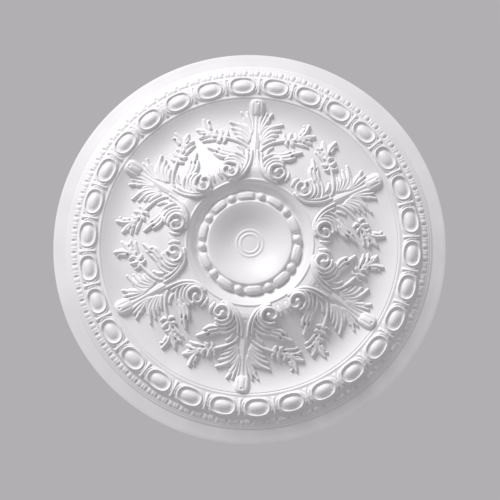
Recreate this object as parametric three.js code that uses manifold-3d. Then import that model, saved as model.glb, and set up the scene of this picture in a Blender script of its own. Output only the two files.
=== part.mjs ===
// Ceiling rose: one round moulding, fixed flat against a ceiling, with a lamp's cord coming through its middle.
// It is drawn as it is seen from below: x to the right, y up, z towards the viewer, its back on z = 0.
// At the end it is turned over, so that the back lies on the ceiling plane z = 0 and the ornament faces down.
import * as THREE from 'three';
import { mergeGeometries, mergeVertices } from 'three/addons/utils/BufferGeometryUtils.js';
import Module from 'manifold-3d';

const wasm = await Module();
wasm.setup();

// Driving dimensions, in millimetres and degrees. A depth is a height in front of the back.
const RIM_RADIUS = 350;
const RIM_THICKNESS = 5.4;
const BORDER_INNER_RADIUS = 325;
const BORDER_INNER_DEPTH = 13.8;
const PEARL_BAND_OUTER_RADIUS = 319;
const PEARL_BAND_DEPTH = 18;
const PEARL_BAND_INNER_RADIUS = 304;
const PEARL_BAND_INNER_DEPTH = 22.6;
const EGG_BAND_OUTER_RADIUS = 302;
const EGG_BAND_OUTER_DEPTH = 29;
const EGG_BAND_INNER_RADIUS = 267;
const EGG_BAND_INNER_DEPTH = 31.5;
const EGG_BAND_SWELL = 3.6;
const EGG_COUNT = 30;
const EGG_PHASE = 8.45;
const EGG_HALF_LENGTH = 17.5;
const EGG_HALF_WIDTH = 11.5;
const EGG_CROWN = 8.5;
const EGG_FRAME_HALF_LENGTH = 22.4;
const EGG_FRAME_HALF_WIDTH = 14.2;
const EGG_FRAME_CREST = 4.5;
const FILLET_RADIUS = 264;
const FILLET_DEPTH = 33.2;
const VALLEY_RADIUS = 225;
const VALLEY_DEPTH = 25.2;
const FIELD_TOP_RADIUS = 120;
const FIELD_TOP_DEPTH = 58;
const COLLAR_RADIUS = 112;
const COLLAR_DEPTH = 59.4;
const BEAD_FLOOR_OUTER_RADIUS = 94;
const BEAD_FLOOR_INNER_RADIUS = 73;
const BEAD_FLOOR_DEPTH = 51.4;
const BEAD_RING_RADIUS = 84.2;
const BEAD_COUNT = 10;
const BEAD_PHASE = 3;
const BEAD_BALL_RADIUS = 7.4;
const BEAD_BAR_LENGTH = 31;
const BEAD_BAR_HALF_WIDTH = 7.6;
const DISH_DEPTH = 38;
const FIXTURE_RADIUS = 26;
const FIXTURE_RING_RADII = [15.8, 22.3];
const FIXTURE_RING_WIDTH = 4;
const FIXTURE_RING_DEPTH = 39.4;
const SPRAY_COUNT = 6;
const SPRAY_PHASE = 26.45;
const ROOTING = 8;
const OVERLAP = 6;
const RIM_SEGMENTS = 2 * EGG_COUNT;
const FIELD_SEGMENTS = 30;
const HEART_SEGMENTS = 24;

const plaster = new THREE.MeshStandardMaterial({ color: 0xe9e7e4, roughness: 0.55, metalness: 0 });
const { degToRad, lerp, clamp } = THREE.MathUtils;

// A closed three.js geometry becomes a solid that can be joined to others
function solid(geometry) {
  geometry.deleteAttribute('normal');
  geometry.deleteAttribute('uv');
  const welded = mergeVertices(geometry, 1e-3);
  const corners = welded.index.array;
  const kept = [];
  for (let i = 0; i < corners.length; i += 3) {
    const [a, b, c] = [corners[i], corners[i + 1], corners[i + 2]];
    if (a !== b && b !== c && c !== a) kept.push(a, b, c);
  }
  return new wasm.Manifold(new wasm.Mesh({
    numProp: 3,
    vertProperties: Float32Array.from(welded.attributes.position.array),
    triVerts: Uint32Array.from(kept),
  }));
}

const joined = (solids) => solids.reduce((whole, next) => whole.add(next));

// A profile of radius and depth, turned round the axis of the rose from the given angle on
function turned(profile, segments, phase = 0) {
  const lathe = new THREE.LatheGeometry(profile.getPoints(2), segments);
  return lathe.rotateX(Math.PI / 2).rotateZ(degToRad(phase) + Math.PI / 2);
}

// One cell of the egg band: rings of eight points from the egg's crown over its foot and the crest of the oval frame
// round it, out to the cell's own edge, where the band's floor shows between the frames.
function eggCell(angle) {
  const rings = [
    { x: 0, y: 0, rise: EGG_CROWN },
    { x: 0.72 * EGG_HALF_LENGTH, y: 0.72 * EGG_HALF_WIDTH, rise: 0.72 * EGG_CROWN },
    { x: EGG_HALF_LENGTH, y: EGG_HALF_WIDTH, rise: 0 },
    { x: EGG_FRAME_HALF_LENGTH, y: EGG_FRAME_HALF_WIDTH, rise: EGG_FRAME_CREST },
  ];
  const cell = new THREE.RingGeometry(0, rings.length, 8, rings.length);
  const position = cell.attributes.position;
  const middle = (EGG_BAND_OUTER_RADIUS + EGG_BAND_INNER_RADIUS) / 2;
  const halfBand = (EGG_BAND_OUTER_RADIUS - EGG_BAND_INNER_RADIUS) / 2;
  for (let i = 0; i < position.count; i += 1) {
    const x = position.getX(i);
    const y = position.getY(i);
    const ring = rings[Math.round(Math.hypot(x, y))];
    const turn = Math.atan2(y, x);
    const outward = ring ? ring.y * Math.sin(turn) : halfBand * Math.sign(Math.round(2 * Math.sin(turn)));
    const radius = middle + outward;
    const halfCell = 180 / EGG_COUNT;
    const aside = ring
      ? -Math.asin((ring.x * Math.cos(turn)) / radius)
      : -degToRad(halfCell) * Math.sign(Math.round(2 * Math.cos(turn)));
    const share = (outward + halfBand) / (2 * halfBand);
    const swell = 4 * EGG_BAND_SWELL * share * (1 - share);
    const floor = lerp(EGG_BAND_INNER_DEPTH, EGG_BAND_OUTER_DEPTH, share) + swell;
    const bearing = degToRad(angle) + aside;
    position.setXYZ(i, radius * Math.cos(bearing), radius * Math.sin(bearing), floor + (ring ? ring.rise : 0));
  }
  return cell;
}

// The border, pearl band, egg band, fillet and cove, as one closed ring
function rimRing() {
  const innerRadius = VALLEY_RADIUS - OVERLAP;
  const profile = new THREE.Path();
  profile.moveTo(EGG_BAND_INNER_RADIUS, EGG_BAND_INNER_DEPTH);
  profile.lineTo(FILLET_RADIUS, FILLET_DEPTH);
  profile.quadraticCurveTo(FILLET_RADIUS - 14, VALLEY_DEPTH, innerRadius, VALLEY_DEPTH);
  profile.lineTo(innerRadius, 0);
  profile.lineTo(RIM_RADIUS, 0);
  profile.lineTo(RIM_RADIUS, RIM_THICKNESS);
  profile.lineTo(BORDER_INNER_RADIUS, BORDER_INNER_DEPTH);
  profile.lineTo(PEARL_BAND_OUTER_RADIUS, PEARL_BAND_DEPTH);
  profile.lineTo(PEARL_BAND_INNER_RADIUS, PEARL_BAND_INNER_DEPTH);
  profile.lineTo(EGG_BAND_OUTER_RADIUS, EGG_BAND_OUTER_DEPTH);
  const pieces = [turned(profile, RIM_SEGMENTS, EGG_PHASE)];
  for (let k = 0; k < EGG_COUNT; k += 1) {
    pieces.push(eggCell(EGG_PHASE + (k * 360) / EGG_COUNT));
  }
  return solid(mergeGeometries(pieces));
}

// The conical field that carries the sprays, the collar and the cove inside it
function fieldRing() {
  const innerRadius = BEAD_FLOOR_OUTER_RADIUS - OVERLAP;
  const profile = new THREE.Path();
  profile.moveTo(innerRadius, 0);
  profile.lineTo(VALLEY_RADIUS + OVERLAP, 0);
  profile.lineTo(VALLEY_RADIUS + OVERLAP, groundDepth(VALLEY_RADIUS + OVERLAP));
  profile.lineTo(FIELD_TOP_RADIUS, FIELD_TOP_DEPTH);
  profile.lineTo(COLLAR_RADIUS, COLLAR_DEPTH);
  profile.quadraticCurveTo(COLLAR_RADIUS - 9, BEAD_FLOOR_DEPTH + 3, innerRadius, BEAD_FLOOR_DEPTH - 2);
  profile.lineTo(innerRadius, 0);
  return solid(turned(profile, FIELD_SEGMENTS, SPRAY_PHASE));
}

// The middle: channel of the bead-and-reel, hollow dish and the two thin rings of the lamp's fixture
function heart() {
  const half = FIXTURE_RING_WIDTH / 2;
  const profile = new THREE.Path();
  profile.moveTo(0, 0);
  profile.lineTo(BEAD_FLOOR_OUTER_RADIUS + OVERLAP, 0);
  profile.lineTo(BEAD_FLOOR_OUTER_RADIUS + OVERLAP, BEAD_FLOOR_DEPTH);
  profile.lineTo(BEAD_FLOOR_INNER_RADIUS, BEAD_FLOOR_DEPTH);
  profile.quadraticCurveTo(FIXTURE_RADIUS + 22, DISH_DEPTH, FIXTURE_RADIUS, DISH_DEPTH);
  for (const radius of [...FIXTURE_RING_RADII].reverse()) {
    profile.lineTo(radius + half, DISH_DEPTH);
    profile.lineTo(radius, FIXTURE_RING_DEPTH);
    profile.lineTo(radius - half, DISH_DEPTH);
  }
  profile.lineTo(0, DISH_DEPTH);
  profile.lineTo(0, 0);
  return solid(turned(profile, HEART_SEGMENTS, SPRAY_PHASE));
}

// Height of the plain ground under the carving: the cone of the field and the cove beyond its valley
function groundDepth(radius) {
  const run = (VALLEY_RADIUS - radius) / (VALLEY_RADIUS - FIELD_TOP_RADIUS);
  const climb = Math.max(radius - VALLEY_RADIUS, 0) / (FILLET_RADIUS - VALLEY_RADIUS);
  const field = lerp(VALLEY_DEPTH, FIELD_TOP_DEPTH, clamp(run, 0, 1));
  return field + (FILLET_DEPTH - VALLEY_DEPTH) * climb * climb;
}

// Ten round beads and ten long ones take turns round the dish
function beadAndReel() {
  const step = 360 / BEAD_COUNT;
  const straight = BEAD_BAR_LENGTH - 2 * BEAD_BAR_HALF_WIDTH;
  const placed = (geometry, angle) =>
    solid(geometry.translate(0, BEAD_RING_RADIUS, BEAD_FLOOR_DEPTH).rotateZ(degToRad(angle - 90)));
  const solids = [];
  for (let k = 0; k < BEAD_COUNT; k += 1) {
    const angle = BEAD_PHASE + k * step;
    const ball = new THREE.SphereGeometry(BEAD_BALL_RADIUS, 6, 4).rotateX(Math.PI / 2);
    const bar = new THREE.CapsuleGeometry(BEAD_BAR_HALF_WIDTH, straight, 1, 6).rotateZ(Math.PI / 2);
    solids.push(placed(ball, angle), placed(bar, angle + step / 2));
  }
  return joined(solids);
}

// A lobe of the carving: a ball drawn out along a curve on the ground, with its crest over the curve.
// Points are [across, out] on a spray whose stem stands on the y axis.
function lobe({ points, halfWidth, crest, along = 3, across = 4, swell = 0.8 }) {
  const spine = new THREE.CatmullRomCurve3(points.map(([x, y]) => new THREE.Vector3(x, y, 0)));
  const ball = new THREE.SphereGeometry(1, across, along);
  const position = ball.attributes.position;
  const vertex = new THREE.Vector3();
  for (let i = 0; i < position.count; i += 1) {
    vertex.fromBufferAttribute(position, i);
    const t = clamp((1 - vertex.y) / 2, 0, 1) ** swell;
    const centre = spine.getPoint(t);
    const tangent = spine.getTangent(t);
    const x = centre.x - vertex.x * halfWidth * tangent.y;
    const y = centre.y + vertex.x * halfWidth * tangent.x;
    const height = vertex.z > 0 ? vertex.z * crest : vertex.z * ROOTING;
    position.setXYZ(i, x, y, groundDepth(Math.hypot(x, y)) + height);
  }
  return ball;
}

// Lobes of one leaf: they leave one stretch of a stem and end at the given tips, each bowed to one side of its chord
function leaf({ roots, tips, bow, ...rest }) {
  return tips.map(([tipX, tipY], i) => {
    const share = tips.length > 1 ? i / (tips.length - 1) : 0;
    const rootX = lerp(roots[0][0], roots[1][0], share);
    const rootY = lerp(roots[0][1], roots[1][1], share);
    const middle = [(rootX + tipX) / 2 - bow * (tipY - rootY), (rootY + tipY) / 2 + bow * (tipX - rootX)];
    return { points: [[rootX, rootY], middle, [tipX, tipY]], ...rest };
  });
}

// The right-hand half of one spray, from the scroll at the collar to the small leaf under the bud
function halfSpray() {
  return [
    { points: [[5, 168], [7, 146], [16, 125], [33, 111.5], [50, 115], [46, 127]],
      halfWidth: 4.5, crest: 7, along: 6, swell: 1 },
    { points: [[29, 116], [30, 131], [40, 140], [62, 141]], halfWidth: 6, crest: 8 },
    { points: [[18, 126], [23, 143], [40, 155], [66, 154]], halfWidth: 8, crest: 6.5 },
    { points: [[54, 147], [69, 148], [87, 168]], halfWidth: 5.5, crest: 6.5 },
    { points: [[13, 163], [26, 178], [53, 189]], halfWidth: 4.4, crest: 6 },
    ...leaf({ roots: [[48, 109], [52, 109]], tips: [[65, 128]], bow: -0.2, halfWidth: 9, crest: 6.5 }),
    ...leaf({ roots: [[7, 190], [11, 178]], tips: [[48, 220], [46, 202]], bow: 0.14, halfWidth: 9, crest: 5.5 }),
    ...leaf({ roots: [[4, 199], [4, 199]], tips: [[26, 241]], bow: 0.12, halfWidth: 8, crest: 6.5 }),
    { points: [[51, 188], [85, 191]], halfWidth: 10, crest: 6.5, swell: 1 },
    { points: [[78, 193], [92, 206], [90, 228]], halfWidth: 6, crest: 7 },
    { points: [[80, 193], [95, 197], [108, 202]], halfWidth: 6.5, crest: 6.5 },
    { points: [[78, 188], [95, 189], [104, 178]], halfWidth: 6, crest: 6.5 },
  ];
}

// A spray of carving: stem and bud on its axis, and the half spray on both sides of it
function spray(angle) {
  const mirrored = (part) => ({ ...part, points: part.points.map(([x, y]) => [-x, y]) });
  const half = halfSpray();
  const stem = { points: [[0, 124], [0, 242]], halfWidth: 7, crest: 7.5, swell: 1 };
  const bud = { points: [[0, 233], [0, 262]], halfWidth: 14, crest: 14, along: 4, across: 6, swell: 1 };
  const lobes = [stem, bud, ...half, ...half.map(mirrored)];
  return joined(lobes.map((part) => solid(lobe(part).rotateZ(degToRad(angle - 90)))));
}

function roseGeometry() {
  let rose = joined([rimRing(), fieldRing(), heart(), beadAndReel()]);
  for (let k = 0; k < SPRAY_COUNT; k += 1) {
    rose = rose.add(spray(SPRAY_PHASE + (k * 360) / SPRAY_COUNT));
  }
  const mesh = rose.getMesh();
  const geometry = new THREE.BufferGeometry();
  geometry.setAttribute('position', new THREE.BufferAttribute(mesh.vertProperties, 3));
  geometry.setIndex(new THREE.BufferAttribute(mesh.triVerts, 1));
  return geometry.rotateX(Math.PI);
}

const ceilingRose = new THREE.Mesh(roseGeometry(), plaster);
ceilingRose.name = 'ceiling_rose';

const group = new THREE.Group();
group.add(ceilingRose);

export default group;
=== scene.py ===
import math

import bmesh
import bpy
import numpy as np
from mathutils import Matrix, Vector


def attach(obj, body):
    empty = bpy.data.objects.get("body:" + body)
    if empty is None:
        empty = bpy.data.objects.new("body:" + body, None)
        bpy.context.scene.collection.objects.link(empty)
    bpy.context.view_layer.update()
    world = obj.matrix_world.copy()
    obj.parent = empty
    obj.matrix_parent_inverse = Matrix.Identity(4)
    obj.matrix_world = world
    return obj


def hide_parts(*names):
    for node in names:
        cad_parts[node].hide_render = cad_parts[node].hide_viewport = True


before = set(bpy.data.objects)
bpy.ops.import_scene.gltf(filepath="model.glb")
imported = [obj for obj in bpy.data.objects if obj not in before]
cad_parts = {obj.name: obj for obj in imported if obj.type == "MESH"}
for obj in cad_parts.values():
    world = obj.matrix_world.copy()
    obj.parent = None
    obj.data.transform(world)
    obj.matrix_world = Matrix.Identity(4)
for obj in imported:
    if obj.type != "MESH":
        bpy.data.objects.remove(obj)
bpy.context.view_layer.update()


# Border and pearl row. The plain sloping edge of the rose, with two fine fillets inside it and a row of small
# pearls. It is cast polyurethane foam, one moulding with all that follows, and its thin rim lies flat against
# the ceiling. Sizes are in millimetres, and a depth is how far the face stands below the ceiling.
MM = 0.001
RIM_RADIUS = 350.0
RIM_THICKNESS = 6.2
PLAIN_BORDER_INNER_RADIUS = 326.5
PEARL_BAND_OUTER_RADIUS = 326.0
EGG_BAND_OUTER_RADIUS = 302.6
# Radius and depth
BORDER_PROFILE = [(302.6, 24.4), (303.4, 23.2), (304.4, 22.2), (317.6, 17.4), (318.4, 17.6), (320.2, 16.6),
                  (320.8, 15.8), (321.8, 15.4), (322.4, 15.6), (324.2, 14.6), (325.2, 13.4), (331.0, 11.8),
                  (337.0, 10.1), (343.0, 8.5), (347.5, 7.4), (349.2, 7.0), (350.0, RIM_THICKNESS)]
PEARL_COUNT = 90
PEARL_PHASE = 8.6
PEARL_RING_RADIUS = 312.0
PEARL_HALF_WIDTH = 5.2
PEARL_HEIGHT = 2.4
PEARL_SQUARENESS = 2.6
# Half-length of each pearl of one repeat, and its place along the row
PEARL_ROW = [(5.0, -5.2), (2.5, 2.8), (2.5, 8.2)]
# The small pit between two repeats
PEARL_PIT_PLACE = 10.85
PEARL_PIT_HALF_LENGTH = 1.8
PEARL_PIT_HALF_WIDTH = 3.8
PEARL_PIT_DEPTH = 3.8
PEARL_BAND_STEP = 0.8
PLAIN_BORDER_ROWS = 12
COLUMNS_PER_PEARL = 16
WELD_DISTANCE = 1e-7
# How the sides of a bump fall: as a half round, or as a shallow swelling
HALF_ROUND = 0.5
SHALLOW = 1.0


def hex_to_linear(code):
    """An sRGB hex colour as the linear RGBA that a shader socket takes."""
    channels = [int(code[i:i + 2], 16) / 255 for i in (1, 3, 5)]
    return [c / 12.92 if c <= 0.04045 else ((c + 0.055) / 1.055) ** 2.4 for c in channels] + [1.0]


def add_node(tree, kind, links=(), **settings):
    """Adds a node, sets its properties or input values by name, and links sources into its inputs."""
    node = tree.nodes.new(kind)
    for name, value in settings.items():
        if hasattr(node, name):
            setattr(node, name, value)
        else:
            node.inputs[name.replace("_", " ")].default_value = value
    for source, target in links:
        tree.links.new(source, node.inputs[target])
    return node


# Satin white primer on moulded polyurethane: a smooth neutral white with the soft broad sheen of a sprayed
# coat, a faint orange peel of about 3 mm, and slow changes of tone over some 80 mm where the coat is thicker.
COAT_THICK = "#dfdee0"
COAT_THIN = "#e7e6e8"
COAT_PATCH_SIZE = 80 * MM
PEEL_SIZE = 3 * MM
PEEL_HEIGHT = 0.4 * MM


def primed_polyurethane():
    material = bpy.data.materials.new("satin primed polyurethane")
    material.use_nodes = True
    tree = material.node_tree
    tree.nodes.clear()
    coordinates = add_node(tree, "ShaderNodeTexCoord").outputs["Object"]
    tone = add_node(tree, "ShaderNodeTexNoise", [(coordinates, "Vector")],
                    Scale=1 / COAT_PATCH_SIZE, Detail=2.0)
    colour = add_node(tree, "ShaderNodeValToRGB", [(tone.outputs["Fac"], "Fac")])
    colour.color_ramp.elements[0].position = 0.3
    colour.color_ramp.elements[0].color = hex_to_linear(COAT_THICK)
    colour.color_ramp.elements[1].position = 0.7
    colour.color_ramp.elements[1].color = hex_to_linear(COAT_THIN)
    peel = add_node(tree, "ShaderNodeTexNoise", [(coordinates, "Vector")], Scale=1 / PEEL_SIZE, Detail=1.0)
    gloss = add_node(tree, "ShaderNodeMapRange", [(tone.outputs["Fac"], "Value")], To_Min=0.42, To_Max=0.54)
    grain = add_node(tree, "ShaderNodeBump", [(peel.outputs["Fac"], "Height")],
                     Strength=0.12, Distance=PEEL_HEIGHT)
    links = [(colour.outputs["Color"], "Base Color"), (gloss.outputs["Result"], "Roughness"),
             (grain.outputs["Normal"], "Normal")]
    shader = add_node(tree, "ShaderNodeBsdfPrincipled", links, IOR=1.47)
    add_node(tree, "ShaderNodeOutputMaterial", [(shader.outputs["BSDF"], "Surface")])
    return material


PRIMED = primed_polyurethane()


def softened(depth, around):
    """Rounds the arrises of a grid of depths, as a mould and its coats of primer do."""
    for axis in (0, 1):
        mode = "wrap" if axis == 1 and around else "edge"
        pad = [(1, 1) if k == axis else (0, 0) for k in (0, 1)]
        padded = np.pad(depth, pad, mode=mode)
        before, after = (padded[:-2], padded[2:]) if axis == 0 else (padded[:, :-2], padded[:, 2:])
        depth = 0.5 * depth + 0.25 * (before + after)
    return depth


def moulded_piece(name, radii, bearings, depth_at):
    """A stretch of the moulding between two radii and two bearings, its face a fine grid, its back on z = 0.

    Bearings are degrees as seen from below, anticlockwise from the right, and depth_at gives the depth of the
    face at a radius and a bearing.
    """
    around = bearings[-1] - bearings[0] >= 360
    columns = bearings[:-1] if around else bearings
    radius, bearing = np.meshgrid(radii, columns, indexing="ij")
    depth = softened(depth_at(radius, bearing), around)
    if around:
        depth = np.hstack([depth, depth[:, :1]])
    bm = bmesh.new()
    bmesh.ops.create_grid(bm, x_segments=len(bearings) - 1, y_segments=len(radii) - 1, size=1.0)
    for vertex in bm.verts:
        column = round((vertex.co.x + 1) / 2 * (len(bearings) - 1))
        row = round((vertex.co.y + 1) / 2 * (len(radii) - 1))
        turn = math.radians(bearings[column])
        across = radii[row] * math.cos(turn)
        up = radii[row] * math.sin(turn)
        vertex.co = Vector((across, -up, -depth[row, column])) * MM
    for face in bm.faces:
        face.smooth = True
    bmesh.ops.remove_doubles(bm, verts=bm.verts, dist=WELD_DISTANCE)
    edge = [e for e in bm.edges if e.is_boundary]
    for seam in edge:
        seam.smooth = False
    rim = bmesh.ops.extrude_edge_only(bm, edges=edge)["geom"]
    for vertex in [g for g in rim if isinstance(g, bmesh.types.BMVert)]:
        vertex.co.z = 0.0
    for face in [g for g in rim if isinstance(g, bmesh.types.BMFace)]:
        face.smooth = False
    back_edge = [g for g in rim if isinstance(g, bmesh.types.BMEdge) and g.is_boundary]
    if around and radii[0] > 0:
        back = bmesh.ops.bridge_loops(bm, edges=back_edge)["faces"]
    else:
        back = bmesh.ops.contextual_create(bm, geom=back_edge)["faces"]
    for face in back:
        face.smooth = False
    bmesh.ops.recalc_face_normals(bm, faces=bm.faces)
    mesh = bpy.data.meshes.new(name)
    bm.to_mesh(mesh)
    bm.free()
    mesh.materials.append(PRIMED)
    piece = bpy.data.objects.new(name, mesh)
    bpy.context.scene.collection.objects.link(piece)
    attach(piece, "root")
    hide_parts("ceiling_rose")


def bump(offset, half_width, power=HALF_ROUND):
    """A rounded bump of height 1 that falls to nothing at its half-width."""
    return np.clip(1 - (offset / half_width) ** 2, 0, 1) ** power


def oval(along, across, half_length, half_width, squareness=2.0):
    """0 at the middle of an oval and 1 on its edge."""
    return (np.abs(along / half_length) ** squareness
            + np.abs(across / half_width) ** squareness) ** (1 / squareness)


def nearest_in_row(bearing, phase, count):
    """Degrees from the nearest of a number of like things set evenly round the rose."""
    step = 360 / count
    return (bearing - phase + step / 2) % step - step / 2


def border_depth(radius, bearing):
    ground = np.interp(radius, *zip(*BORDER_PROFILE))
    out = radius - PEARL_RING_RADIUS
    along = np.radians(nearest_in_row(bearing, PEARL_PHASE, PEARL_COUNT)) * PEARL_RING_RADIUS
    pearls = np.zeros(radius.shape)
    for half_length, place in PEARL_ROW:
        edge = oval(along - place, out, half_length, PEARL_HALF_WIDTH, PEARL_SQUARENESS)
        pearls = np.maximum(pearls, PEARL_HEIGHT * bump(edge, 1.0))
    pit = oval(np.abs(along) - PEARL_PIT_PLACE, out, PEARL_PIT_HALF_LENGTH, PEARL_PIT_HALF_WIDTH)
    return ground + pearls - PEARL_PIT_DEPTH * bump(pit, 1.0, SHALLOW)


pearl_band_radii = np.arange(EGG_BAND_OUTER_RADIUS, PEARL_BAND_OUTER_RADIUS, PEARL_BAND_STEP)
plain_border_radii = np.linspace(PLAIN_BORDER_INNER_RADIUS, RIM_RADIUS, PLAIN_BORDER_ROWS)
border_radii = np.concatenate([pearl_band_radii, plain_border_radii])
border_bearings = np.linspace(0, 360, PEARL_COUNT * COLUMNS_PER_PEARL + 1)
moulded_piece("border_and_pearls", border_radii, border_bearings, border_depth)


# Egg band. Thirty eggs lie end to end on a sloping band, each in a groove inside a raised oval frame, with a
# lower frame outside that and a small dart between each two. Moulded in one with the border.
EGG_COUNT = 30
EGG_PHASE = 8.6
EGG_RING_RADIUS = 287.2
EGG_HALF_LENGTH = 17.8
EGG_HALF_WIDTH = 11.6
EGG_HEIGHT = 9.6
EGG_SQUARENESS = 2.4
EGG_ROUNDNESS = 0.42
GROOVE_DEPTH = 6.0
FRAME_HALF_LENGTH = 21.8
FRAME_HALF_WIDTH = 15.2
FRAME_HALF_THICKNESS = 1.8
FRAME_HEIGHT = 4.4
FRAME_SQUARENESS = 2.3
OUTER_FRAME_HALF_LENGTH = 26.6
OUTER_FRAME_HALF_WIDTH = 17.0
OUTER_FRAME_HALF_THICKNESS = 2.0
OUTER_FRAME_HEIGHT = 2.8
OUTER_FRAME_REACH = 16.5
DART_HALF_WIDTH = 2.6
DART_HEIGHT = 4.0
DART_REACH = 15.5
# Place out from the ring of eggs, and how wide a dart is there
DART_TAPER = [(-15, 1.3), (-4, 0.8), (6, 0.8), (14, 1.5)]
# The small pits on both sides of a dart's outer end
DART_PIT_ASIDE = 5.2
DART_PIT_OUT = 11.0
DART_PIT_HALF_WIDTH = 1.9
DART_PIT_HALF_LENGTH = 3.4
DART_PIT_DEPTH = 3.0
# Two more ways for the sides of a bump to fall: nearly upright, or gently
UPRIGHT = 0.3
GENTLE = 0.6
EGG_BAND_ROWS = 48
COLUMNS_PER_EGG = 60
FILLET_RADIUS = 262.0
EGG_BAND_PROFILE = [(262.0, 29.4), (263.4, 29.8), (264.4, 31.2), (267.0, 31.4), (268.6, 30.6), (277.0, 31.0),
                    (286.0, 31.0), (294.0, 29.4), (299.4, 27.2), (300.0, 27.4), (301.6, 26.4), (302.6, 24.4)]


def gap_to_oval(edge, along, across):
    """Millimetres out from an oval's edge, from where a point lies between its middle, 0, and its edge, 1."""
    return (edge - 1) * np.hypot(along, across) / np.maximum(edge, 0.2)


def egg_band_depth(radius, bearing):
    ground = np.interp(radius, *zip(*EGG_BAND_PROFILE))
    out = radius - EGG_RING_RADIUS
    along = np.radians(nearest_in_row(bearing, EGG_PHASE, EGG_COUNT)) * EGG_RING_RADIUS
    egg = oval(along, out, EGG_HALF_LENGTH, EGG_HALF_WIDTH, EGG_SQUARENESS)
    frame_edge = oval(along, out, FRAME_HALF_LENGTH, FRAME_HALF_WIDTH, FRAME_SQUARENESS)
    frame_gap = gap_to_oval(frame_edge, along, out)
    frame_rise = FRAME_HEIGHT * bump(frame_gap, FRAME_HALF_THICKNESS, GENTLE)
    egg_rise = EGG_HEIGHT * bump(egg, 1.0, EGG_ROUNDNESS) - GROOVE_DEPTH * (frame_edge < 1)
    outer_edge = oval(along, out, OUTER_FRAME_HALF_LENGTH, OUTER_FRAME_HALF_WIDTH, FRAME_SQUARENESS)
    outer_gap = gap_to_oval(outer_edge, along, out)
    outer_rise = OUTER_FRAME_HEIGHT * bump(outer_gap, OUTER_FRAME_HALF_THICKNESS, GENTLE)
    outer_rise = outer_rise * bump(out, OUTER_FRAME_REACH, UPRIGHT)
    aside = np.radians(nearest_in_row(bearing, EGG_PHASE + 180 / EGG_COUNT, EGG_COUNT)) * EGG_RING_RADIUS
    dart_half_width = DART_HALF_WIDTH * np.interp(out, *zip(*DART_TAPER))
    dart_rise = DART_HEIGHT * bump(aside, dart_half_width, GENTLE) * bump(out, DART_REACH, UPRIGHT)
    pit = oval(np.abs(aside) - DART_PIT_ASIDE, out - DART_PIT_OUT, DART_PIT_HALF_WIDTH, DART_PIT_HALF_LENGTH)
    ground = ground - DART_PIT_DEPTH * bump(pit, 1.0, SHALLOW)
    return ground + np.maximum.reduce([egg_rise, frame_rise, outer_rise, dart_rise])


egg_radii = np.linspace(FILLET_RADIUS, EGG_BAND_OUTER_RADIUS, EGG_BAND_ROWS)
moulded_piece("egg_band", egg_radii, np.linspace(0, 360, EGG_COUNT * COLUMNS_PER_EGG + 1), egg_band_depth)


# Field and sprays. A cone rises from the cove inside the egg band to the collar, and six sprays of acanthus
# grow out over it: a stem between two scrolls, two leaves and a lily on each side, and a bud that stands
# in the cove. The carving is moulded in one with the cone.
SPRAY_COUNT = 6
SPRAY_PHASE = 26.8
COLLAR_INNER_RADIUS = 108.0
FIELD_PROFILE = [(108.0, 56.9), (111.0, 58.4), (112.2, 58.4), (113.2, 56.2), (120.0, 57.2), (126.0, 57.8),
                 (132.0, 57.2), (140.0, 54.4), (150.0, 49.8), (166.0, 44.0), (180.0, 39.0), (195.0, 33.4),
                 (208.0, 29.0), (218.0, 26.4), (226.0, 25.0), (232.0, 24.5), (238.0, 24.6), (244.0, 25.2),
                 (250.0, 26.2), (256.0, 27.6), (262.0, 29.4)]
FIELD_ROWS = 172
SPRAY_COLUMNS = 244
SPINE_STEPS = 22
# The narrow groove along the foot of each ridge, and the relief over which it is lost
UNDERCUT_HALF_WIDTH = 1.9
UNDERCUT_DEPTH = 2.0
UNDERCUT_REACH = 3.5


def drawn_curve(points):
    """A smooth line through a few points."""
    points = np.array(points, float)
    slopes = np.gradient(points, axis=0)
    t = np.linspace(0, len(points) - 1, SPINE_STEPS)
    k = np.minimum(t.astype(int), len(points) - 2)
    s = (t - k)[:, None]
    return ((2 * s ** 3 - 3 * s ** 2 + 1) * points[k] + (s ** 3 - 2 * s ** 2 + s) * slopes[k]
            + (3 * s ** 2 - 2 * s ** 3) * points[k + 1] + (s ** 3 - s ** 2) * slopes[k + 1])


def ridge(x, y, points, half_widths, heights, crest=0.35):
    """Height over the ground of a carved ridge along a curve, and how near a point is to the foot of it.

    Half-widths and heights are given at its root, middle and tip, and crest is the share of a sharp roof in
    its section.
    """
    spine = drawn_curve(points)
    gap = np.full(x.shape, np.inf)
    along = np.zeros(x.shape)
    for k in range(SPINE_STEPS - 1):
        start, step = spine[k], spine[k + 1] - spine[k]
        t = np.clip(((x - start[0]) * step[0] + (y - start[1]) * step[1]) / (step @ step), 0, 1)
        reach = np.hypot(x - start[0] - t * step[0], y - start[1] - t * step[1])
        closer = reach < gap
        gap = np.where(closer, reach, gap)
        along = np.where(closer, (k + t) / (SPINE_STEPS - 1), along)
    stations = [0, 0.55, 1]
    width = np.interp(along, stations, half_widths)
    section = (1 - crest) * bump(gap, width, UPRIGHT) + crest * np.clip(1 - gap / width, 0, 1)
    foot = np.clip(1 - np.abs(gap - width) / UNDERCUT_HALF_WIDTH, 0, 1)
    return np.interp(along, stations, heights) * section, foot


def grown_together(first, second, blend=0.9):
    """The higher of two reliefs, with a small fillet where they meet."""
    overlap = np.clip(1 - np.abs(first - second) / blend, 0, 1)
    return np.maximum(first, second) + overlap ** 2 * blend / 4


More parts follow.
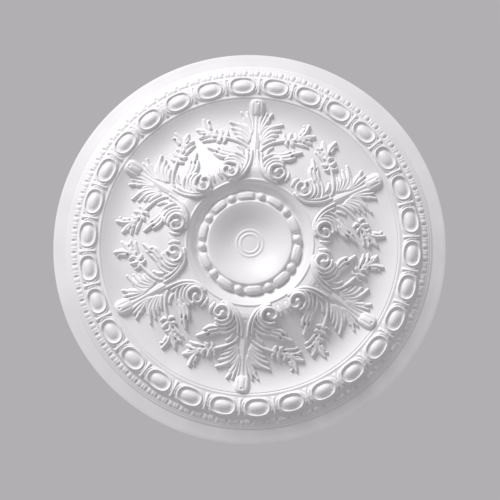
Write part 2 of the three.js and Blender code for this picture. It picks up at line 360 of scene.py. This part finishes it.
# The right-hand half of a spray, its stem on the middle line. Each ridge has a few points, across and out
# from the rose's middle, then its half-widths and its heights at root, middle and tip.
STEM = [
    ([(0, 138), (0, 160), (0, 185), (0, 240)], (2.0, 8.0, 9.0), (0.5, 3.8, 5.0)),
    ([(0, 146), (0, 165), (0, 190), (0, 240)], (0.8, 2.6, 3.2), (0.8, 4.4, 5.6)),
    ([(0, 230), (0, 244)], (8.0, 10.0, 13.0), (4.6, 6.0, 7.0)),
]
SCROLL = [
    ([(5, 165), (6, 150), (9, 137), (14, 126), (21, 117), (30, 111.5), (41, 108)],
     (2.4, 3.4, 3.0), (5.2, 6.3, 5.8)),
    ([(12.5, 160), (12.5, 148), (15, 136), (19.5, 126), (26, 117.5), (34, 112)],
     (2.4, 3.2, 3.0), (5.2, 6.3, 6.9)),
    ([(16.6, 136.4), (22.6, 145.9), (32.1, 151.9), (43.3, 153.4), (52, 151)],
     (2.4, 3.0, 2.4), (5.3, 6.4, 5.3)),
    ([(24.6, 116), (21, 127.5), (24.6, 139), (34.2, 146.3), (44.5, 147.2), (51, 144.8)],
     (2.6, 3.4, 2.8), (5.8, 8.0, 6.9)),
    ([(51, 138.5), (44.5, 141), (36.4, 140.6), (29.6, 135.4), (27, 127.5), (29.6, 119.4), (36.4, 114.2),
      (46, 114.4), (53, 120)], (3.4, 4.2, 2.6), (8.7, 9.7, 5.8)),
    ([(52, 118.5), (54.5, 126), (50, 132), (43.5, 131.5), (40, 127)], (2.6, 3.4, 4.6), (5.8, 7.4, 8.6)),
    ([(40, 126), (41, 126.6)], (4.8, 4.8, 4.8), (8.6, 8.6, 8.6)),
    ([(12.4, 146), (20.7, 154.5), (32.5, 160), (46, 161)], (2.4, 3.0, 2.4), (4.6, 5.1, 4.1)),
    ([(34, 158), (50, 156), (66, 160)], (4.0, 7.0, 6.0), (3.4, 4.8, 5.1)),
    ([(46, 150), (58, 150.5), (66, 153.5), (72, 156.5)], (3.0, 4.4, 2.0), (6.4, 7.4, 6.4)),
    ([(48, 155), (60, 157.5), (70, 163), (83, 167.5)], (3.0, 5.0, 2.4), (6.4, 7.6, 6.4)),
    ([(44, 160), (56, 163), (69, 168.5)], (2.6, 4.0, 2.0), (5.1, 6.0, 5.3)),
]
SHELL = [
    ([(55.5, 110.5), (59, 116), (61.5, 121), (62, 127)], (2.8, 4.2, 2.0), (3.0, 4.8, 4.2)),
]
LARGE_LEAF = [
    ([(9, 186), (19, 199), (33, 207)], (4.5, 11.0, 8.0), (2.2, 3.0, 2.8)),
    ([(8, 192), (12.5, 203), (20, 211), (30, 216)], (2.6, 4.4, 2.2), (3.8, 5.5, 4.9)),
    ([(9, 188), (17, 201.5), (29, 211.5), (47, 218.5)], (2.6, 5.2, 2.2), (3.8, 6.0, 6.0)),
    ([(10.5, 185), (20, 196.5), (31, 203.5), (43.5, 207.5)], (2.6, 4.8, 2.2), (3.8, 5.8, 5.5)),
    ([(12, 182), (21, 190.5), (29.5, 195.5), (38.5, 198.5)], (2.6, 4.4, 2.2), (3.5, 5.5, 5.2)),
    ([(13, 179), (22, 186), (34, 190.5)], (2.4, 3.8, 2.2), (3.2, 5.0, 4.6)),
]
SMALL_LEAF = [
    ([(6, 198), (10, 213), (15, 227)], (4.0, 7.0, 6.5), (2.6, 3.2, 3.0)),
    ([(5, 203), (6.5, 219), (8.5, 231), (10.5, 238.5)], (2.4, 3.8, 2.2), (4.8, 6.0, 5.8)),
    ([(6, 200), (10, 215), (14.5, 228), (17.5, 238)], (2.4, 4.2, 2.2), (4.8, 6.0, 5.9)),
    ([(7, 198), (12, 212), (19, 226), (27.5, 237)], (2.4, 4.2, 2.2), (4.8, 6.0, 6.1)),
    ([(8, 196), (12, 207), (17, 217), (22.5, 225.5)], (2.4, 4.0, 2.2), (4.3, 5.8, 5.5)),
]
FLOWER = [
    ([(11, 166), (18, 174.5), (30, 181.5), (42, 185.5), (52, 188)], (2.2, 3.2, 3.4), (3.5, 6.0, 6.6)),
    ([(55, 190), (62, 190.5), (70, 191)], (7.0, 9.0, 7.0), (4.2, 5.0, 4.4)),
    ([(55, 188), (51.5, 193), (51, 199.5)], (3.4, 4.6, 2.4), (6.0, 6.6, 6.0)),
    ([(60, 190), (60.8, 196), (63, 202)], (3.4, 4.4, 2.6), (6.0, 6.8, 6.2)),
    ([(69, 191), (73, 195), (71, 201)], (3.4, 4.6, 2.4), (6.0, 6.6, 6.0)),
    ([(57, 188), (54.5, 183), (56.5, 178)], (3.4, 4.4, 2.2), (6.0, 6.6, 5.8)),
    ([(62, 187), (64.5, 182), (68, 179)], (3.4, 4.4, 2.2), (6.0, 6.6, 5.8)),
    ([(66, 188), (76, 191), (84, 194)], (4.5, 6.5, 7.0), (5.0, 5.8, 5.6)),
    ([(66, 185), (77, 183), (87, 181.5), (94, 178.5)], (2.6, 3.8, 2.0), (5.0, 6.0, 5.2)),
    ([(79, 196), (83, 203), (86, 210), (85.5, 218)], (5.0, 5.6, 2.2), (6.0, 6.6, 6.0)),
    ([(80, 196), (86, 203), (91, 211), (94.5, 219.5)], (5.0, 6.0, 2.4), (6.0, 6.8, 6.2)),
    ([(84, 195), (94, 197), (105, 200)], (5.5, 6.8, 2.6), (6.0, 6.6, 6.0)),
    ([(85, 190), (92, 189), (99.5, 185)], (4.6, 5.2, 2.2), (6.0, 6.4, 5.8)),
]
CURL = [
    ([(20, 159), (24, 167.5), (31, 173)], (2.4, 3.2, 3.0), (3.6, 4.6, 4.6)),
]
# Veins cut into the leaves, petals and scrolls, with depths in place of heights
VEINS = [
    ([(9.5, 194), (12.5, 202.5), (19.5, 210), (28.5, 215)], (0.7, 1.5, 1.2), (0.4, 2.2, 1.3)),
    ([(11, 190), (17, 200.5), (28, 210), (44.5, 217.3)], (0.7, 1.6, 1.2), (0.4, 2.6, 1.3)),
    ([(13, 187), (21, 195.5), (31, 202.6), (41.5, 206.8)], (0.7, 1.5, 1.2), (0.4, 2.4, 1.3)),
    ([(15, 184), (23, 190.5), (30.5, 195), (37, 197.8)], (0.7, 1.4, 1.1), (0.4, 2.2, 1.1)),
    ([(7, 206), (8, 219), (10.5, 229), (13.5, 237)], (0.7, 1.4, 1.1), (0.4, 2.2, 1.3)),
    ([(8, 204), (12.5, 216), (18.5, 226), (25.5, 235)], (0.7, 1.5, 1.1), (0.4, 2.4, 1.3)),
    ([(10, 202), (13, 209.5), (17.5, 216.5), (21.5, 223.5)], (0.7, 1.4, 1.1), (0.4, 2.2, 1.3)),
    ([(85, 195), (93, 196.5), (102, 198)], (1.0, 1.8, 1.2), (0.9, 2.6, 1.3)),
    ([(81, 199), (86, 207), (90, 215)], (1.0, 2.0, 1.4), (0.9, 2.9, 1.6)),
    ([(86, 189), (91.5, 187.8), (96, 184.6)], (1.0, 1.6, 1.1), (0.9, 2.2, 1.1)),
    ([(27, 120), (26, 127.5), (29, 135.6), (36, 140.8), (45, 141)], (1.0, 1.5, 1.1), (0.9, 2.2, 1.3)),
]
# Places carved back: middle, half-widths across and out, tilt in degrees, height of the floor over the ground
HOLLOWS = [
    ((39.5, 135.6), (8.4, 2.2), 8, -4.0),
    ((15.8, 165.4), (3.0, 5.8), -8, -5.0),
    ((54.6, 196.6), (2.8, 3.4), 0, -3.0),
    ((66.6, 195.4), (3.0, 2.6), 0, -2.0),
    ((59.4, 183.4), (2.0, 3.6), -10, -2.0),
    ((72.0, 186.6), (4.8, 1.8), -12, -1.0),
    ((79.6, 200.8), (2.8, 2.4), 0, -2.0),
    ((84.2, 214.6), (2.0, 3.6), 10, -0.5),
    ((92.0, 191.6), (4.6, 1.6), -8, -0.5),
    ((88.0, 185.0), (5.0, 1.7), -16, -1.0),
    ((67.0, 158.6), (4.0, 1.6), 35, -0.5),
    ((63.0, 164.4), (4.0, 1.5), 30, 0.0),
]
HOLLOW_FLOOR_SHARE = 0.55
HOLLOW_WALL_HEIGHT = 8.0
BUD = (0.0, 246.4)
BUD_HALF_WIDTH = 13.6
BUD_HALF_LENGTH = 15.8
BUD_HEIGHT = 8.6
BUD_SQUARENESS = 2.6
BUD_ROUNDNESS = 0.38
BUD_CREASE_ASIDE = 5.2
BUD_CREASE_HALF_WIDTH = 1.7
BUD_CREASE_HALF_LENGTH = 11.0
BUD_CREASE_DEPTH = 1.6
BUD_DIMPLE = (0.0, 255.0)
BUD_DIMPLE_RADIUS = 2.4
BUD_DIMPLE_DEPTH = 2.2
# The carving is this much bolder than the heights above, and fades out at the collar
CARVING_BOLDNESS = 1.18
CARVING_INNER_RADIUS = 109.0
CARVING_FADE = 3.0


def spray_relief(x, y):
    """Height of one half spray over the ground, at points across and out from the middle."""
    relief = np.zeros(x.shape)
    undercut = np.zeros(x.shape)
    for group in (STEM, SCROLL, SHELL, LARGE_LEAF, SMALL_LEAF, FLOWER, CURL):
        for points, half_widths, heights in group:
            rise, foot = ridge(x, y, points, half_widths, heights)
            relief = grown_together(relief, rise)
            undercut = np.maximum(undercut, foot)
    relief = relief - UNDERCUT_DEPTH * undercut * np.clip(1 - relief / UNDERCUT_REACH, 0, 1)
    for points, half_widths, depths in VEINS:
        relief = relief - ridge(x, y, points, half_widths, depths, crest=1.0)[0]
    for middle, halves, tilt, floor in HOLLOWS:
        turn = math.radians(tilt)
        along = (x - middle[0]) * math.cos(turn) + (y - middle[1]) * math.sin(turn)
        across = (y - middle[1]) * math.cos(turn) - (x - middle[0]) * math.sin(turn)
        wall = np.clip(oval(along, across, *halves) - HOLLOW_FLOOR_SHARE, 0, 1) / (1 - HOLLOW_FLOOR_SHARE)
        relief = np.minimum(relief, floor + HOLLOW_WALL_HEIGHT * wall)
    bud = oval(x - BUD[0], y - BUD[1], BUD_HALF_WIDTH, BUD_HALF_LENGTH, BUD_SQUARENESS)
    relief = grown_together(relief, BUD_HEIGHT * bump(bud, 1.0, BUD_ROUNDNESS))
    crease = bump(x - BUD_CREASE_ASIDE, BUD_CREASE_HALF_WIDTH, SHALLOW)
    crease = crease * bump(y - BUD[1], BUD_CREASE_HALF_LENGTH)
    dimple = bump(np.hypot(x - BUD_DIMPLE[0], y - BUD_DIMPLE[1]), BUD_DIMPLE_RADIUS, SHALLOW)
    return relief - BUD_CREASE_DEPTH * crease - BUD_DIMPLE_DEPTH * dimple


def field_depth(radius, bearing):
    turn = np.radians(np.abs(nearest_in_row(bearing, SPRAY_PHASE, SPRAY_COUNT)))
    carved = np.clip((radius - CARVING_INNER_RADIUS) / CARVING_FADE, 0, 1)
    relief = spray_relief(radius * np.sin(turn), radius * np.cos(turn))
    return np.interp(radius, *zip(*FIELD_PROFILE)) + CARVING_BOLDNESS * carved * relief


field_radii = np.linspace(COLLAR_INNER_RADIUS, FILLET_RADIUS, FIELD_ROWS)
spray_bearings = np.linspace(-180 / SPRAY_COUNT, 180 / SPRAY_COUNT, SPRAY_COLUMNS + 1)
for k in range(SPRAY_COUNT):
    stem_bearing = SPRAY_PHASE + k * 360 / SPRAY_COUNT
    moulded_piece(f"spray_{k + 1}", field_radii, stem_bearing + spray_bearings, field_depth)


# Middle. A cove falls from the collar to a ring of round and long beads, and inside that lies a hollow dish
# with two thin rings round the place where a lamp's cord comes through. Moulded in one with the rest.
BEAD_COUNT = 10
BEAD_PHASE = 4.5
BEAD_RING_RADIUS = 84.2
BEAD_RADIUS = 7.4
BEAD_HEIGHT = 8.2
BAR_HALF_LENGTH = 15.4
BAR_HALF_WIDTH = 7.6
BAR_HEIGHT = 7.8
BAR_SQUARENESS = 3.6
BAR_ROUNDNESS = 0.4
# The sunk panel on each long bead
PANEL_HALF_LENGTH = 10.6
PANEL_HALF_WIDTH = 3.8
PANEL_SQUARENESS = 4.0
PANEL_DEPTH = 0.9
CORD_RING_RADII = (16.4, 23.2)
CORD_RING_HALF_WIDTH = 1.7
CORD_RING_HEIGHT = 1.2
MIDDLE_PROFILE = [(0, 38.0), (23, 38.0), (28, 38.6), (34, 40.0), (42, 42.6), (50, 45.7), (58, 48.8),
                  (66, 51.6), (72, 53.2), (74.5, 53.0), (76.5, 49.0), (88, 48.0), (91.0, 44.6), (93, 44.8),
                  (95.5, 47.4), (99, 51.0), (103, 54.4), (108, 56.9)]
MIDDLE_ROWS = 112
MIDDLE_COLUMNS = 480


def middle_depth(radius, bearing):
    ground = np.interp(radius, *zip(*MIDDLE_PROFILE))
    out = radius - BEAD_RING_RADIUS
    along = np.radians(nearest_in_row(bearing, BEAD_PHASE, BEAD_COUNT)) * BEAD_RING_RADIUS
    bead_rise = BEAD_HEIGHT * bump(np.hypot(along, out), BEAD_RADIUS)
    along = np.radians(nearest_in_row(bearing, BEAD_PHASE + 180 / BEAD_COUNT, BEAD_COUNT)) * BEAD_RING_RADIUS
    bar = oval(along, out, BAR_HALF_LENGTH, BAR_HALF_WIDTH, BAR_SQUARENESS)
    panel = oval(along, out, PANEL_HALF_LENGTH, PANEL_HALF_WIDTH, PANEL_SQUARENESS)
    bar_rise = BAR_HEIGHT * bump(bar, 1.0, BAR_ROUNDNESS) - PANEL_DEPTH * bump(panel, 1.0, UPRIGHT)
    rings = sum(CORD_RING_HEIGHT * bump(radius - ring, CORD_RING_HALF_WIDTH) for ring in CORD_RING_RADII)
    return ground + np.maximum(bead_rise, bar_rise) + rings


middle_radii = np.linspace(0, COLLAR_INNER_RADIUS, MIDDLE_ROWS)
moulded_piece("middle", middle_radii, np.linspace(0, 360, MIDDLE_COLUMNS + 1), middle_depth)


# Light and camera. A grey studio with a broad window-like light from the upper left of the picture and a weak
# one over the back, and a camera under the rose that looks up a little from one side, with the rose's -Y
# at the top of the picture. Lengths are in metres.
CAMERA_DISTANCE = 2.4
CAMERA_ALONG = math.tan(math.radians(7.5))
CAMERA_ASIDE = math.tan(math.radians(0.3))
PICTURE_WIDTH = 0.8868
SENSOR_WIDTH = 36.0
AIM = Vector((0.0007, 0.0067, 0.0))
KEY_FROM_AXIS = math.radians(63)
KEY_BEARING = math.radians(120)
KEY_STRENGTH = 3.3
KEY_SPREAD = math.radians(24)
TOP_PLACE = Vector((0.8, -1.2, 2.2))
TOP_SIZE = 1.5
TOP_POWER = 30.0
STUDIO_GREY = "#b2afb2"

world = bpy.data.worlds.new("grey studio")
bpy.context.scene.world = world
world.use_nodes = True
world.node_tree.nodes["Background"].inputs["Color"].default_value = hex_to_linear(STUDIO_GREY)
world.node_tree.nodes["Background"].inputs["Strength"].default_value = 1.0

key_data = bpy.data.lights.new("key", "SUN")
key_data.energy = KEY_STRENGTH
key_data.angle = KEY_SPREAD
key = bpy.data.objects.new("key", key_data)
towards_key = Vector((math.sin(KEY_FROM_AXIS) * math.cos(KEY_BEARING),
                      -math.sin(KEY_FROM_AXIS) * math.sin(KEY_BEARING), -math.cos(KEY_FROM_AXIS)))
key.rotation_euler = towards_key.to_track_quat("Z", "Y").to_euler()
bpy.context.scene.collection.objects.link(key)

top_data = bpy.data.lights.new("top", "AREA")
top_data.size = TOP_SIZE
top_data.energy = TOP_POWER
top = bpy.data.objects.new("top", top_data)
top.location = TOP_PLACE
top.rotation_euler = (-TOP_PLACE).to_track_quat("-Z", "Y").to_euler()
bpy.context.scene.collection.objects.link(top)

camera_data = bpy.data.cameras.new("camera")
camera_data.sensor_width = SENSOR_WIDTH
camera_data.lens = SENSOR_WIDTH * CAMERA_DISTANCE / PICTURE_WIDTH
camera = bpy.data.objects.new("camera", camera_data)
away = Vector((-CAMERA_ASIDE, CAMERA_ALONG, -1.0)).normalized()
right = Vector((0, -1, 0)).cross(away).normalized()
place = AIM + CAMERA_DISTANCE * Vector((-CAMERA_ASIDE, CAMERA_ALONG, -1.0))
turned = Matrix((right, away.cross(right), away)).transposed().to_4x4()
camera.matrix_world = Matrix.Translation(place) @ turned
bpy.context.scene.collection.objects.link(camera)
bpy.context.scene.camera = camera
bpy.context.scene.view_settings.view_transform = "Standard"
